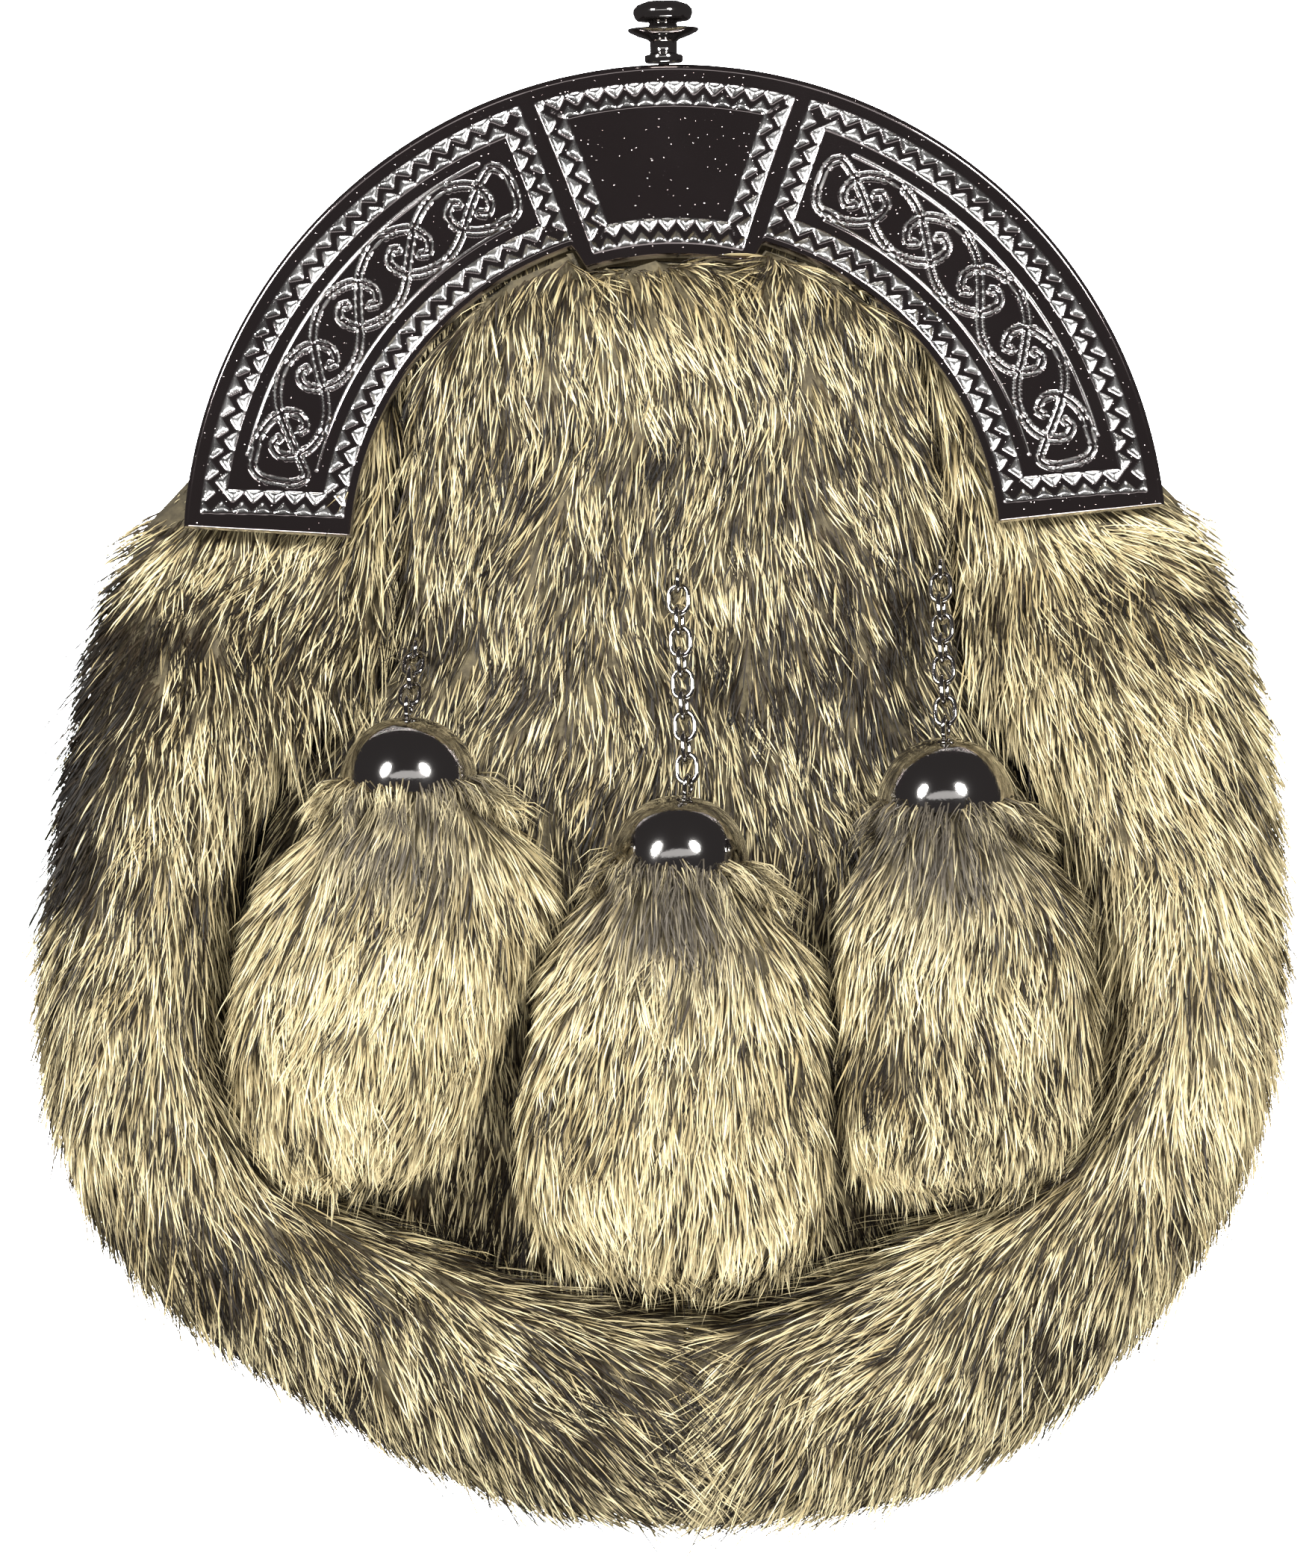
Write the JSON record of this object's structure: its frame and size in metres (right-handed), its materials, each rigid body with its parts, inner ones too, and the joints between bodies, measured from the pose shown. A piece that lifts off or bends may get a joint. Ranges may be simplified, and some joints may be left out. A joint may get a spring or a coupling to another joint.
{
  "type": "sporran pouch",
  "caption": "Fur-covered dress sporran pouch with a cast metal arch, a knob and fur tassels hanging on chains.",
  "frame": {"origin": "middle of the underside of the whole, where it lies on a surface", "axes": "+Z the way the front faces, +Y from the tassels up to the knob, +X to the right seen from the front"},
  "size_m": [0.2014, 0.2448, 0.0556],
  "materials": {
    "bright_metal": "polished cast metal",
    "fur": "long cream fur with dark guard hairs",
    "black_leather": "black grained leather"
  },
  "bodies": {
    "root": {"cantle": "bright_metal", "cantle_knob": "bright_metal", "front_panel": "fur", "gusset_left": "fur", "gusset_right": "fur", "back_panel": "black_leather", "back_flap": "black_leather", "flap_stud": "bright_metal", "strap_loop_left": "black_leather", "strap_loop_right": "black_leather", "tassel_left": "fur", "bell_cap_left": "bright_metal", "chain_eye_left": "bright_metal", "link_left_1": "bright_metal", "link_left_2": "bright_metal", "link_left_3": "bright_metal", "tassel_middle": "fur", "bell_cap_middle": "bright_metal", "chain_eye_middle": "bright_metal", "link_middle_1": "bright_metal", "link_middle_2": "bright_metal", "link_middle_3": "bright_metal", "link_middle_4": "bright_metal", "link_middle_5": "bright_metal", "link_middle_6": "bright_metal", "link_middle_7": "bright_metal", "link_middle_8": "bright_metal", "link_middle_9": "bright_metal", "tassel_right": "fur", "bell_cap_right": "bright_metal", "chain_eye_right": "bright_metal", "link_right_1": "bright_metal", "link_right_2": "bright_metal", "link_right_3": "bright_metal", "link_right_4": "bright_metal", "link_right_5": "bright_metal", "link_right_6": "bright_metal", "link_right_7": "bright_metal"}
  },
  "joints": []
}
